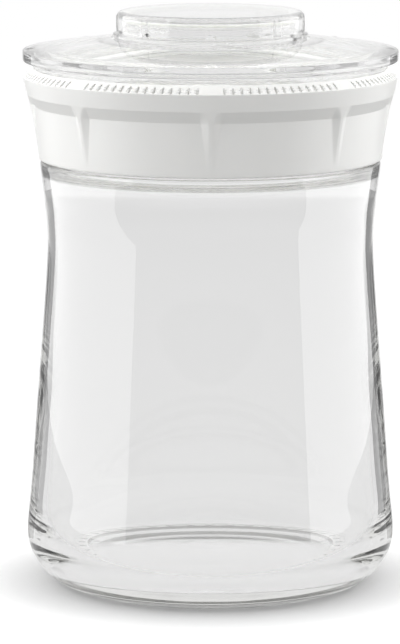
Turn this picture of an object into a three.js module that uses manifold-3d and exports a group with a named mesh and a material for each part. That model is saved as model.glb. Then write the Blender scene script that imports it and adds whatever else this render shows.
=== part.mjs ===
// Kefir fermentation jar, in millimetres, +Z up, origin at the centre of the foot.
// A pressed glass jar with a screw neck carries a straining ring that has a comb of slots in its rim.
// A clear lid screws into the ring, a clear cap screws onto the lid's collar, and each joint has a soft seal.

import * as THREE from "three";
import { mergeGeometries, mergeVertices } from "three/addons/utils/BufferGeometryUtils.js";
import Module from "manifold-3d";

// Facets, gaps and roots shared by all pieces
const SEGMENTS = 40;
const CURVE_STEPS = 3;
const SECTORS = 8;
const REST_GAP = 0.3;
const RUNNING_GAP = 0.4;
const ROOT = 0.6;

// Glass jar
const FOOT_RADIUS = 40.7;
const FOOT_WIDTH = 4.4;
const FOOT_FLARE = 1.2;
const NUB_COUNT = 40;
const NUB_RADIUS = 1.4;
const NUB_HEIGHT = 0.5;
const NUB_SIDES = 6;
const PUSH_UP = 3.2;
const PUSH_UP_RIM = 1.6;
const FLOOR_HEIGHT = 7.9;
const FLOOR_RADIUS = 40.0;
const HEEL_RADIUS = 54.6;
const HEEL_HEIGHT = 15.6;
const HEEL_PULL_IN = 0.7;
const HEEL_PULL_UP = 4.0;
const HEEL_WALL = 5.4;
const HEEL_SWEEP = 22.0;
const HEEL_LEAN = 1.6;
const WAIST_RADIUS = 48.1;
const WAIST_DEPTH = 24.0;
const WAIST_SWEEP = 24.0;
const WAIST_LEAN = 0.8;
const SHOULDER_RADIUS = 50.1;
const SHOULDER_HEIGHT = 124.4;
const SHOULDER_SWEEP = 7.5;
const SHOULDER_ROUND = 1.8;
const SHOULDER_LEDGE = 4.1;
const SHOULDER_DEPTH = 2.8;
const SHOULDER_WALL = 3.1;
const WALL = 3.4;
const NECK_HEIGHT = 13.6;
const NECK_WALL = 3.4;
const NECK_BLEND = 1.6;
const LIP_ROUND = 0.9;

// Screw threads: ridges rise counter-clockwise seen from above, widths are along the axis, angles in degrees.
// The lid's ridges start at a share of the height from the ring's bore ledge to its rim, clear of both seats.
const JAR_THREAD = { starts: 2, lead: 10.0, depth: 1.3, base: 1.8, crest: 0.9 };
const JAR_RIDGE_SWEEP = 250;
const JAR_RIDGE_HEIGHT = 2.4;
const RING_RIDGE_SWEEP = 120;
const RING_RIDGE_LAG = 100;
const LID_THREAD = { starts: 4, lead: 8.0, depth: 1.8, base: 0.9, crest: 0.6 };
const LID_RIDGE_SWEEP = 78;
const LID_RIDGE_SHARE = 0.2;
const LUG_SWEEP = 24;
const LUG_LAG = 50;
const LUG_DEPTH = 1.4;
const CAP_THREAD = { starts: 2, lead: 6.0, depth: 0.8, base: 1.0, crest: 0.6 };
const COLLAR_RIDGE_SWEEP = 150;
const COLLAR_RIDGE_HEIGHT = 1.7;
const CAP_RIDGE_SWEEP = 80;
const CAP_RIDGE_LAG = 60;

// Gasket between the jar's lip and the ring
const GASKET_THICKNESS = 1.5;

// Straining ring
const RING_SEAT_GAP = 0.5;
const RING_OVERHANG = 0.4;
const RING_FOOT_ROUND = 0.6;
const RING_FLARE = 4.9;
const RIB_BEND_OUT = 1.5;
const RIB_BEND_DROP = 3.4;
const WEB_THICKNESS = 1.6;
const WEB_OVERHANG = 0.4;
const CUP_DEPTH = 9.9;
const BEVEL_WIDTH = 3.0;
const BEVEL_DROP = 2.5;
const MOUTH_CHAMFER = 0.4;
const BAND_HEIGHT = 5.0;
const BAND_SLOPE = 1.05;
const STEP_HEIGHT = 3.4;
const STEP_DEPTH = 2.2;
const RIB_TOP_WIDTH = 4.7;
const RIB_FOOT_WIDTH = 1.0;
const SEAL_BORE_DEPTH = 3.0;
const SEAL_LEDGE = 1.8;
const COMB_TAB_WIDTH = 7.0;
const COMB_SLOT_WIDTH = 0.9;
const COMB_SLOT_HEIGHT = 1.75;
const COMB_SLOTS_PER_SECTOR = 15;

// Lid
const LID_SEAL_THICKNESS = 1.4;
const LID_SEAL_WIDTH = 1.4;
const SKIRT_FOOT = 0.7;
const SKIRT_WALL = 1.6;
const SKIRT_DRAFT = 2.4;
const SEAT_CONE_DROP = 0.8;
const SEAT_CONE_RISE = 1.9;
const SEAT_CONE_SLOPE = 0.75;
const FLANGE_OVERHANG = 0.15;
const FLANGE_GAP = 2.2;
const FLANGE_THICKNESS = 3.0;
const FLANGE_ROUND = 0.9;
const PLATE_THICKNESS = 2.2;
const PLATE_RISE = 3.6;
const RIDGE_WIDTH = 5.2;
const RIDGE_CREST = 0.9;
const RIDGE_REACH = 10.0;
const RIDGE_SETBACK = 0.3;
const COLLAR_HEIGHT = 4.9;
const COLLAR_WALL = 2.0;
const COLLAR_CHAMFER = 0.4;
const CAP_SEAT_RECESS = 0.3;
const CAP_SEAT_MARGIN = 0.6;

// Cap
const CAP_RADIUS = 27.3;
const CAP_WALL = 1.1;
const CAP_PLATE = 1.6;
const CAP_ROUND = 1.5;
const CAP_FOOT_GAP = 0.35;
const CAP_LIP = 1.3;
const CAP_LIP_HEIGHT = 1.3;
const CAP_LIP_BLEND = 1.8;
const CAP_RIB_WIDTH = 2.3;
const CAP_RIB_DEPTH = 0.4;
const CAP_SEAL_THICKNESS = 1.0;

// Radii that follow from the fits, from the jar's neck outwards and then from the cap inwards
const neckRadius = SHOULDER_RADIUS - SHOULDER_LEDGE;
const neckBore = neckRadius - NECK_WALL;
const ringBore = neckRadius + JAR_THREAD.depth + RUNNING_GAP;
const webBore = neckBore + WEB_OVERHANG;
const gasketRadius = ringBore - RUNNING_GAP;
const ringFootRadius = SHOULDER_RADIUS + RING_OVERHANG;
const rimRadius = SHOULDER_RADIUS + RING_FLARE;
const bandFootRadius = rimRadius - BAND_SLOPE;
const panelTopRadius = bandFootRadius - STEP_DEPTH;
const mouthRadius = rimRadius - BEVEL_WIDTH;
const lidThreadBore = mouthRadius - MOUTH_CHAMFER;
const sealBore = lidThreadBore - SEAL_LEDGE;
const skirtRadius = lidThreadBore - RUNNING_GAP - LID_THREAD.depth;
const lidSealRadius = sealBore - REST_GAP;
const sealGroove = lidSealRadius - LID_SEAL_WIDTH - REST_GAP;
const skirtBore = sealGroove - SKIRT_WALL;
const flangeRadius = rimRadius + FLANGE_OVERHANG;
const capBore = CAP_RADIUS - CAP_WALL;
const collarRadius = capBore - RUNNING_GAP - CAP_THREAD.depth;
const collarBore = collarRadius - COLLAR_WALL;
const capLipRadius = CAP_RADIUS + CAP_LIP;
const capSeatRadius = capLipRadius + CAP_SEAT_MARGIN;

// Heights that follow from the stack, from the foot up
const waistHeight = SHOULDER_HEIGHT - WAIST_DEPTH;
const shoulderTop = SHOULDER_HEIGHT + SHOULDER_ROUND;
const ringBottom = shoulderTop + RING_SEAT_GAP;
const lipTop = shoulderTop + NECK_HEIGHT;
const gasketBottom = lipTop + REST_GAP;
const gasketTop = gasketBottom + GASKET_THICKNESS;
const webBottom = gasketTop + REST_GAP;
const webTop = webBottom + WEB_THICKNESS;
const ringTop = webTop + CUP_DEPTH;
const rimHeight = ringTop - BEVEL_DROP;
const bandBottom = rimHeight - BAND_HEIGHT;
const stepBottom = bandBottom - STEP_HEIGHT;
const sealBoreTop = webTop + SEAL_BORE_DEPTH;
const boreLedge = sealBoreTop + MOUTH_CHAMFER;
const skirtBottom = webTop + RUNNING_GAP;
const grooveBottom = skirtBottom + SKIRT_FOOT;
const lidSealBottom = grooveBottom + REST_GAP;
const lidSealTop = lidSealBottom + LID_SEAL_THICKNESS;
const grooveTop = lidSealTop + REST_GAP;
const flangeBottom = ringTop + FLANGE_GAP;
const flangeTop = flangeBottom + FLANGE_THICKNESS;
const capSeat = flangeTop + PLATE_RISE - CAP_SEAT_RECESS;
const collarTop = capSeat + COLLAR_HEIGHT;
const capSealBottom = collarTop + REST_GAP;
const capSealTop = capSealBottom + CAP_SEAL_THICKNESS;
const capCeiling = capSealTop + REST_GAP;
const capTop = capCeiling + CAP_PLATE;
const capBottom = capSeat + CAP_FOOT_GAP;
const jarRidgeStart = shoulderTop + JAR_RIDGE_HEIGHT;
const lidRidgeStart = boreLedge + LID_RIDGE_SHARE * (rimHeight - boreLedge);
const collarRidgeStart = capSeat + COLLAR_RIDGE_HEIGHT;

const wasm = await Module();
wasm.setup();

/** Turns a closed three.js geometry into a solid with merged vertices and faces that point out. */
function solidFrom(geometry) {
  const bare = geometry.clone();
  bare.deleteAttribute("normal");
  bare.deleteAttribute("uv");
  const merged = mergeVertices(bare);
  const positions = merged.attributes.position;
  const corner = [new THREE.Vector3(), new THREE.Vector3(), new THREE.Vector3()];
  const triangles = [];
  let volume = 0;
  for (let i = 0; i < merged.index.count; i += 3) {
    const ids = [0, 1, 2].map((k) => merged.index.getX(i + k));
    if (new Set(ids).size === 3) {
      ids.forEach((id, k) => corner[k].fromBufferAttribute(positions, id));
      volume += corner[0].dot(corner[1].cross(corner[2]));
      triangles.push(ids);
    }
  }
  const outward = volume > 0 ? triangles : triangles.map(([a, b, c]) => [a, c, b]);
  const mesh = new wasm.Mesh({
    numProp: 3,
    vertProperties: positions.array,
    triVerts: Uint32Array.from(outward.flat()),
  });
  return new wasm.Manifold(mesh);
}

/** Gives the three.js geometry of a solid. */
function geometryFrom(solid) {
  const { vertProperties, triVerts } = solid.getMesh();
  const geometry = new THREE.BufferGeometry();
  geometry.setAttribute("position", new THREE.BufferAttribute(Float32Array.from(vertProperties), 3));
  geometry.setIndex(new THREE.BufferAttribute(Uint32Array.from(triVerts), 1));
  geometry.computeVertexNormals();
  return geometry;
}

/** Turns a closed outline of (radius, height) points about Z, with its first facet edge at the front. */
function turned(outline) {
  const points = outline.getPoints(CURVE_STEPS);
  return solidFrom(new THREE.LatheGeometry(points, SEGMENTS).rotateX(Math.PI / 2));
}

/** Starts a closed outline at a (radius, height) point. */
function outlineFrom(radius, height) {
  return new THREE.Path().moveTo(radius, height);
}

/** Copies a geometry, made for the front of the object, to evenly spaced angles and joins the copies. */
function roundCopies(geometry, count) {
  const turns = Array.from({ length: count }, (_, i) => (i * 2 * Math.PI) / count);
  return mergeGeometries(turns.map((turn) => geometry.clone().rotateZ(turn)));
}

/** One thread ridge: a trapezoid swept along a helix and rooted in its wall, angles from the front. */
function threadRidge(thread, wall, crest, start, sweep, height) {
  const root = wall + Math.sign(wall - crest) * ROOT;
  const section = [
    [root, -thread.base / 2],
    [crest, -thread.crest / 2],
    [crest, thread.crest / 2],
    [root, thread.base / 2],
  ];
  const sides = section.length;
  const steps = Math.ceil((sweep * SEGMENTS) / 360);
  const positions = [];
  for (let i = 0; i <= steps; i += 1) {
    const turn = (sweep * i) / steps;
    const angle = THREE.MathUtils.degToRad(start + turn);
    const middle = height + (thread.lead * turn) / 360;
    for (const [radius, offset] of section) {
      positions.push(radius * Math.sin(angle), -radius * Math.cos(angle), middle + offset);
    }
  }
  const last = steps * sides;
  const index = [0, 1, 2, 0, 2, 3, last, last + 2, last + 1, last, last + 3, last + 2];
  for (let i = 0; i < steps; i += 1) {
    for (let side = 0; side < sides; side += 1) {
      const a = i * sides + side;
      const b = i * sides + ((side + 1) % sides);
      index.push(a, a + sides, b, b, a + sides, b + sides);
    }
  }
  const geometry = new THREE.BufferGeometry();
  geometry.setAttribute("position", new THREE.Float32BufferAttribute(positions, 3));
  geometry.setIndex(index);
  return geometry;
}

/** All the ridges of one side of a thread, as one solid. */
function threadRidges(thread, wall, crest, start, sweep, height) {
  return solidFrom(roundCopies(threadRidge(thread, wall, crest, start, sweep, height), thread.starts));
}

/** Height of the ridge that meets another one half a pitch away, at an angle further round the thread. */
function matingHeight(thread, height, lag, side) {
  return height + (thread.lead * lag) / 360 + (side * thread.lead) / thread.starts / 2;
}

/** Pressed glass jar with a push-up base, nubs under its foot and a screw neck. */
function glassJar() {
  const footInner = FOOT_RADIUS - FOOT_WIDTH / 2;
  const footOuter = FOOT_RADIUS + FOOT_WIDTH / 2;
  const innerHeel = HEEL_RADIUS - HEEL_WALL;
  const innerHeelHeight = FLOOR_HEIGHT + HEEL_HEIGHT;
  const innerWaist = WAIST_RADIUS - WALL;
  const innerShoulder = SHOULDER_RADIUS - SHOULDER_WALL;
  const underShoulder = shoulderTop - SHOULDER_DEPTH;
  const outline = outlineFrom(0, NUB_HEIGHT + PUSH_UP)
    .lineTo(footInner - PUSH_UP_RIM, NUB_HEIGHT + PUSH_UP_RIM)
    .lineTo(footInner, NUB_HEIGHT)
    .lineTo(footOuter, NUB_HEIGHT)
    .lineTo(footOuter + FOOT_FLARE, NUB_HEIGHT + FOOT_FLARE / 2)
    .quadraticCurveTo(HEEL_RADIUS - HEEL_PULL_IN, HEEL_PULL_UP, HEEL_RADIUS, HEEL_HEIGHT)
    .bezierCurveTo(
      HEEL_RADIUS - HEEL_LEAN, HEEL_HEIGHT + HEEL_SWEEP,
      WAIST_RADIUS + WAIST_LEAN, waistHeight - WAIST_SWEEP,
      WAIST_RADIUS, waistHeight,
    )
    .bezierCurveTo(
      WAIST_RADIUS, waistHeight + SHOULDER_SWEEP,
      SHOULDER_RADIUS - WAIST_LEAN, SHOULDER_HEIGHT - SHOULDER_SWEEP,
      SHOULDER_RADIUS, SHOULDER_HEIGHT,
    )
    .quadraticCurveTo(SHOULDER_RADIUS, shoulderTop, SHOULDER_RADIUS - SHOULDER_ROUND, shoulderTop)
    .lineTo(neckRadius, shoulderTop)
    .lineTo(neckRadius, lipTop - LIP_ROUND)
    .quadraticCurveTo(neckRadius, lipTop, neckRadius - LIP_ROUND, lipTop)
    .lineTo(neckBore + LIP_ROUND, lipTop)
    .quadraticCurveTo(neckBore, lipTop, neckBore, lipTop - LIP_ROUND)
    .lineTo(neckBore, underShoulder + NECK_BLEND)
    .quadraticCurveTo(neckBore, underShoulder, neckBore + NECK_BLEND, underShoulder)
    .lineTo(innerShoulder - NECK_BLEND, underShoulder)
    .quadraticCurveTo(innerShoulder, underShoulder, innerShoulder, underShoulder - NECK_BLEND)
    .quadraticCurveTo(innerWaist, waistHeight + SHOULDER_SWEEP, innerWaist, waistHeight)
    .bezierCurveTo(
      innerWaist + WAIST_LEAN, waistHeight - WAIST_SWEEP,
      innerHeel, innerHeelHeight + HEEL_SWEEP,
      innerHeel, innerHeelHeight,
    )
    .quadraticCurveTo(innerHeel, FLOOR_HEIGHT, FLOOR_RADIUS, FLOOR_HEIGHT)
    .lineTo(0, FLOOR_HEIGHT);
  const nubLength = NUB_HEIGHT + ROOT;
  const nub = new THREE.CylinderGeometry(NUB_RADIUS, NUB_RADIUS, nubLength, NUB_SIDES)
    .rotateX(Math.PI / 2)
    .translate(0, -FOOT_RADIUS, nubLength / 2);
  const crest = neckRadius + JAR_THREAD.depth;
  return turned(outline)
    .add(solidFrom(roundCopies(nub, NUB_COUNT)))
    .add(threadRidges(JAR_THREAD, neckRadius, crest, 0, JAR_RIDGE_SWEEP, jarRidgeStart));
}

/** A soft ring of rectangular section. */
function flatRing(bore, radius, bottom, top) {
  const outline = outlineFrom(bore, bottom)
    .lineTo(radius, bottom)
    .lineTo(radius, top)
    .lineTo(bore, top)
    .lineTo(bore, bottom);
  return turned(outline);
}

/** The eight ribs that run down from the ring's band and die out at its lower edge. */
function ringRibs() {
  const ribBottom = ringBottom + RING_FOOT_ROUND;
  const ribTop = bandBottom + ROOT;
  const flank = new THREE.Shape()
    .moveTo(-RIB_FOOT_WIDTH / 2, ribBottom)
    .lineTo(RIB_FOOT_WIDTH / 2, ribBottom)
    .lineTo(RIB_TOP_WIDTH / 2, ribTop)
    .lineTo(-RIB_TOP_WIDTH / 2, ribTop);
  const blades = new THREE.ExtrudeGeometry(flank, { depth: rimRadius, bevelEnabled: false })
    .rotateX(Math.PI / 2);
  const shell = outlineFrom(ringFootRadius - ROOT, ribBottom)
    .lineTo(ringFootRadius, ribBottom)
    .quadraticCurveTo(ringFootRadius + RIB_BEND_OUT, stepBottom - RIB_BEND_DROP, bandFootRadius, bandBottom)
    .lineTo(bandFootRadius - ROOT, ribTop)
    .lineTo(panelTopRadius - ROOT, ribTop)
    .lineTo(ringFootRadius - ROOT, ribBottom);
  return turned(shell).intersect(solidFrom(roundCopies(blades, SECTORS)));
}

/** The slots of the comb: level slits through the bevelled rim, with a plain tab above each rib. */
function combSlots() {
  const reach = rimRadius - lidThreadBore + 2 * ROOT;
  const middle = (rimRadius + lidThreadBore) / 2;
  const slot = new THREE.BoxGeometry(COMB_SLOT_WIDTH, reach, COMB_SLOT_HEIGHT)
    .translate(0, -middle, rimHeight + COMB_SLOT_HEIGHT / 2);
  const sector = (2 * Math.PI) / SECTORS;
  const first = (COMB_TAB_WIDTH + COMB_SLOT_WIDTH) / 2 / rimRadius;
  const pitch = (sector - 2 * first) / (COMB_SLOTS_PER_SECTOR - 1);
  const field = [];
  for (let i = 0; i < COMB_SLOTS_PER_SECTOR; i += 1) {
    field.push(slot.clone().rotateZ(first + i * pitch));
  }
  return solidFrom(roundCopies(mergeGeometries(field), SECTORS));
}

/** Moulded straining ring: screws onto the neck below its web and takes the lid in the cup above it. */
function strainerRing() {
  const outline = outlineFrom(ringBore, ringBottom)
    .lineTo(ringFootRadius - RING_FOOT_ROUND, ringBottom)
    .quadraticCurveTo(ringFootRadius, ringBottom, ringFootRadius, ringBottom + RING_FOOT_ROUND)
    .lineTo(panelTopRadius, stepBottom)
    .lineTo(bandFootRadius, bandBottom)
    .lineTo(rimRadius, rimHeight)
    .lineTo(mouthRadius, ringTop)
    .lineTo(lidThreadBore, ringTop - MOUTH_CHAMFER)
    .lineTo(lidThreadBore, boreLedge)
    .lineTo(sealBore, sealBoreTop)
    .lineTo(sealBore, webTop)
    .lineTo(webBore, webTop)
    .lineTo(webBore, webBottom)
    .lineTo(ringBore, webBottom)
    .lineTo(ringBore, ringBottom);
  const ridgeHeight = matingHeight(JAR_THREAD, jarRidgeStart, RING_RIDGE_LAG, -1);
  const ridgeCrest = neckRadius + RUNNING_GAP;
  const lugHeight = matingHeight(LID_THREAD, lidRidgeStart, LUG_LAG, 1);
  const lugCrest = lidThreadBore - LUG_DEPTH;
  return turned(outline)
    .add(ringRibs())
    .subtract(combSlots())
    .add(threadRidges(JAR_THREAD, ringBore, ridgeCrest, RING_RIDGE_LAG, RING_RIDGE_SWEEP, ridgeHeight))
    .add(threadRidges(LID_THREAD, lidThreadBore, lugCrest, LUG_LAG, LUG_SWEEP, lugHeight));
}

/** The eight rounded grip ridges on the lid's plate, with level crests that run into the cone. */
function gripRidges() {
  const bottom = flangeTop - ROOT;
  const crest = flangeTop + RIDGE_CREST;
  const half = RIDGE_WIDTH / 2;
  const section = new THREE.Shape()
    .moveTo(-half, bottom)
    .lineTo(half, bottom)
    .quadraticCurveTo(half, crest, 0, crest)
    .quadraticCurveTo(-half, crest, -half, bottom);
  const ridge = new THREE.ExtrudeGeometry(section, {
    depth: RIDGE_REACH,
    bevelEnabled: false,
    curveSegments: CURVE_STEPS,
  })
    .rotateX(Math.PI / 2)
    .translate(0, RIDGE_REACH + RIDGE_SETBACK - flangeRadius, 0);
  return solidFrom(roundCopies(ridge, SECTORS));
}

/** Clear lid: a conical plate with a rounded flange, a screw skirt below it and a threaded collar on top. */
function lid() {
  const coneBottom = ringTop - SEAT_CONE_DROP;
  const coneTop = ringTop + SEAT_CONE_RISE;
  const seatRadius = mouthRadius - RUNNING_GAP;
  const plateFoot = flangeBottom + FLANGE_THICKNESS - PLATE_THICKNESS;
  const skirtTopBore = skirtBore + SKIRT_DRAFT;
  const outline = outlineFrom(skirtBore, skirtBottom)
    .lineTo(skirtRadius, skirtBottom)
    .lineTo(skirtRadius, grooveBottom)
    .lineTo(sealGroove, grooveBottom)
    .lineTo(sealGroove, grooveTop)
    .lineTo(skirtRadius, grooveTop)
    .lineTo(skirtRadius, coneBottom - SEAT_CONE_DROP)
    .lineTo(seatRadius - SEAT_CONE_DROP * SEAT_CONE_SLOPE, coneBottom)
    .lineTo(seatRadius + SEAT_CONE_RISE * SEAT_CONE_SLOPE, coneTop)
    .lineTo(flangeRadius - 2 * FLANGE_ROUND, flangeBottom)
    .lineTo(flangeRadius - FLANGE_ROUND, flangeBottom)
    .quadraticCurveTo(flangeRadius, flangeBottom, flangeRadius, flangeBottom + FLANGE_ROUND)
    .lineTo(flangeRadius, flangeTop - FLANGE_ROUND)
    .quadraticCurveTo(flangeRadius, flangeTop, flangeRadius - FLANGE_ROUND, flangeTop)
    .lineTo(capSeatRadius, flangeTop + PLATE_RISE)
    .lineTo(capSeatRadius, capSeat)
    .lineTo(collarRadius, capSeat)
    .lineTo(collarRadius, collarTop - COLLAR_CHAMFER)
    .lineTo(collarRadius - COLLAR_CHAMFER, collarTop)
    .lineTo(collarBore + COLLAR_CHAMFER, collarTop)
    .lineTo(collarBore, collarTop - COLLAR_CHAMFER)
    .lineTo(collarBore, capSeat - PLATE_THICKNESS)
    .lineTo(capSeatRadius, capSeat - PLATE_THICKNESS)
    .lineTo(skirtTopBore, plateFoot)
    .lineTo(skirtBore, skirtBottom);
  const lidCrest = skirtRadius + LID_THREAD.depth;
  const collarCrest = collarRadius + CAP_THREAD.depth;
  return turned(outline)
    .add(gripRidges())
    .add(threadRidges(LID_THREAD, skirtRadius, lidCrest, 0, LID_RIDGE_SWEEP, lidRidgeStart))
    .add(threadRidges(CAP_THREAD, collarRadius, collarCrest, 0, COLLAR_RIDGE_SWEEP, collarRidgeStart));
}

/** The eight upright grip ribs on the cap's wall. */
function capRibs() {
  const bottom = capBottom + CAP_LIP_HEIGHT;
  const height = capTop - CAP_ROUND - bottom;
  const depth = CAP_RIB_DEPTH + ROOT;
  const rib = new THREE.BoxGeometry(CAP_RIB_WIDTH, depth, height)
    .translate(0, -CAP_RADIUS - CAP_RIB_DEPTH + depth / 2, bottom + height / 2);
  return solidFrom(roundCopies(rib, SECTORS));
}

/** Clear cap: a shallow screw cup with a rounded top edge and a small lip. */
function cap() {
  const lipTopHeight = capBottom + CAP_LIP_HEIGHT;
  const outline = outlineFrom(0, capCeiling)
    .lineTo(capBore, capCeiling)
    .lineTo(capBore, capBottom)
    .lineTo(capLipRadius, capBottom)
    .lineTo(capLipRadius, lipTopHeight)
    .quadraticCurveTo(CAP_RADIUS, lipTopHeight, CAP_RADIUS, lipTopHeight + CAP_LIP_BLEND)
    .lineTo(CAP_RADIUS, capTop - CAP_ROUND)
    .quadraticCurveTo(CAP_RADIUS, capTop, CAP_RADIUS - CAP_ROUND, capTop)
    .lineTo(0, capTop);
  const ridgeHeight = matingHeight(CAP_THREAD, collarRidgeStart, CAP_RIDGE_LAG, -1);
  const ridgeCrest = collarRadius + RUNNING_GAP;
  return turned(outline)
    .add(capRibs())
    .add(threadRidges(CAP_THREAD, capBore, ridgeCrest, CAP_RIDGE_LAG, CAP_RIDGE_SWEEP, ridgeHeight));
}

const clearGlass = new THREE.MeshStandardMaterial({
  color: 0xdfe7e3,
  roughness: 0.04,
  metalness: 0,
  transparent: true,
  opacity: 0.35,
});
const clearPlastic = new THREE.MeshStandardMaterial({
  color: 0xeef1f1,
  roughness: 0.08,
  metalness: 0,
  transparent: true,
  opacity: 0.4,
});
const whitePlastic = new THREE.MeshStandardMaterial({ color: 0xf3f3f1, roughness: 0.38, metalness: 0 });
const silicone = new THREE.MeshStandardMaterial({ color: 0xe6e7e3, roughness: 0.6, metalness: 0 });

/** Adds a named piece to a group. */
function addPiece(group, name, solid, material) {
  const mesh = new THREE.Mesh(geometryFrom(solid), material);
  mesh.name = name;
  group.add(mesh);
}

const jar = new THREE.Group();
addPiece(jar, "glass_jar", glassJar(), clearGlass);
addPiece(jar, "jar_gasket", flatRing(webBore, gasketRadius, gasketBottom, gasketTop), silicone);
addPiece(jar, "strainer_ring", strainerRing(), whitePlastic);
const lidSealBore = sealGroove + REST_GAP;
addPiece(jar, "lid_seal", flatRing(lidSealBore, lidSealRadius, lidSealBottom, lidSealTop), silicone);
addPiece(jar, "lid", lid(), clearPlastic);
addPiece(jar, "cap_seal", flatRing(collarBore, capBore - RUNNING_GAP, capSealBottom, capSealTop), silicone);
addPiece(jar, "cap", cap(), clearPlastic);

export default jar;
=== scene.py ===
"""Looks of a kefir fermentation jar: glass jar, white straining ring, clear lid and cap, in a studio."""

import logging
import math
from dataclasses import dataclass, field, replace
from enum import Enum

import bmesh
import bpy
import numpy as np
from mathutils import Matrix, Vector

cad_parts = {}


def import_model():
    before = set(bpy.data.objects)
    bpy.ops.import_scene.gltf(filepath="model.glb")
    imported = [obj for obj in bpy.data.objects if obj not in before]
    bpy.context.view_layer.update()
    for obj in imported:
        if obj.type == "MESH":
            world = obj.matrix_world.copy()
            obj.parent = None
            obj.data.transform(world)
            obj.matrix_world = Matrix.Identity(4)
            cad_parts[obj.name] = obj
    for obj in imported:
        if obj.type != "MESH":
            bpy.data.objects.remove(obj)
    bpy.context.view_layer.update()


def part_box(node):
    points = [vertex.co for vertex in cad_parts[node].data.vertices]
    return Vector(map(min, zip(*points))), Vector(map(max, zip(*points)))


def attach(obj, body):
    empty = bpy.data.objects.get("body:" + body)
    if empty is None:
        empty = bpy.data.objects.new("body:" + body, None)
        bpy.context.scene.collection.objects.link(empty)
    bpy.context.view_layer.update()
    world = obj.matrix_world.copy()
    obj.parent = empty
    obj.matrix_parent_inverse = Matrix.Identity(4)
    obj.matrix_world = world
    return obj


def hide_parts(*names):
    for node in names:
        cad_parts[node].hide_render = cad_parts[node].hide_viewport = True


LOG = logging.getLogger("kefir_jar")
Point = tuple[float, float]
Offsets = tuple[np.ndarray, np.ndarray]

MM = 0.001
WHITE = (1.0, 1.0, 1.0, 1.0)

# The ring's ribs, the lid's grip ridges and the cap's ribs stand at the same eight directions.
SECTORS = 8
SECTOR = 2 * math.pi / SECTORS

# A rounding is drawn in this many steps, and takes at most this share of the edges beside it.
CORNER_STEPS = 6
CORNER_SHARE = 0.49

# Samples along the crest of a rib.
CURVE_STEPS = 60

# Heights in millimetres that differ by less belong to one row of vertices.
SAME_HEIGHT = 1e-6

# Edges that bend by more are shaded sharp.
SHARP_ANGLE = math.radians(40)


class Slot(Enum):
    """Material slots of the record."""

    GLASS = "clear_glass"
    WHITE = "white_plastic"
    CLEAR = "clear_plastic"
    SOFT = "silicone"


class Side(Enum):
    """Side of the studio, seen from the camera."""

    LEFT = -1
    RIGHT = 1


def linear(hex_colour: str) -> tuple[float, float, float, float]:
    """Turns an sRGB hex colour into linear light.

    Args:
        hex_colour: Colour as "#RRGGBB".

    Returns:
        Red, green and blue in linear light, and an alpha of 1.
    """
    shares = [int(hex_colour[i:i + 2], 16) / 255 for i in (1, 3, 5)]
    red, green, blue = (s / 12.92 if s <= 0.04045 else ((s + 0.055) / 1.055) ** 2.4 for s in shares)
    return red, green, blue, 1.0


def per_metre(size: float) -> float:
    """Pattern scale that makes one feature as large as a size in millimetres."""
    return 1 / (size * MM)


def add_node(
    tree: bpy.types.NodeTree, kind: str, inputs: dict[str | int, object] | None = None, **options: object
) -> bpy.types.Node:
    """Adds a node with its options, and sets or links its inputs.

    Args:
        tree: Node tree that takes the node.
        kind: Blender's type name of the node.
        inputs: A value or an output socket for each input, by name, or by number where names repeat.
        options: Options of the node, such as operation="MAXIMUM".

    Returns:
        The new node.
    """
    node = tree.nodes.new(kind)
    for option, value in options.items():
        setattr(node, option, value)
    for name, value in (inputs or {}).items():
        if isinstance(value, bpy.types.NodeSocket):
            tree.links.new(value, node.inputs[name])
        else:
            node.inputs[name].default_value = value
    return node


def bare_tree(owner: bpy.types.Material | bpy.types.World) -> bpy.types.NodeTree:
    """Gives a material or a world an empty node tree.

    Args:
        owner: The material or world.

    Returns:
        Its node tree.
    """
    owner.use_nodes = True
    owner.node_tree.nodes.clear()
    return owner.node_tree


@dataclass(frozen=True)
class ClearFinish:
    """Clear material that bends light, with a slow waviness and an unevenly polished surface.

    Sizes and depths of its patterns are in millimetres, and its absorption is per metre.
    """

    name: str
    colour: str
    body_tint: str
    absorption: float
    ior: float
    roughness: float
    wave_size: float
    wave_depth: float
    wave_detail: float
    wave_distortion: float
    haze_size: float
    haze_detail: float

    def material(self) -> bpy.types.Material:
        """Builds the material.

        Returns:
            The new material.
        """
        material = bpy.data.materials.new(self.name)
        tree = bare_tree(material)
        place = add_node(tree, "ShaderNodeTexCoord").outputs["Object"]
        waves = add_node(tree, "ShaderNodeTexNoise", {
            "Vector": place, "Scale": per_metre(self.wave_size), "Detail": self.wave_detail,
            "Distortion": self.wave_distortion,
        })
        bump = add_node(tree, "ShaderNodeBump", {
            "Height": waves.outputs["Fac"], "Strength": 1.0, "Distance": self.wave_depth * MM,
        })
        haze = add_node(tree, "ShaderNodeTexNoise", {
            "Vector": place, "Scale": per_metre(self.haze_size), "Detail": self.haze_detail,
        })
        roughness = add_node(tree, "ShaderNodeMapRange", {
            "Value": haze.outputs["Fac"], "To Min": 0.0, "To Max": 2 * self.roughness,
        })
        shader = add_node(tree, "ShaderNodeBsdfPrincipled", {
            "Base Color": linear(self.colour), "IOR": self.ior, "Transmission Weight": 1.0,
            "Roughness": roughness.outputs["Result"], "Normal": bump.outputs["Normal"],
        })
        volume = add_node(tree, "ShaderNodeVolumeAbsorption", {
            "Color": linear(self.body_tint), "Density": self.absorption,
        })
        add_node(tree, "ShaderNodeOutputMaterial", {
            "Surface": shader.outputs["BSDF"], "Volume": volume.outputs["Volume"],
        })
        return material


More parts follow.
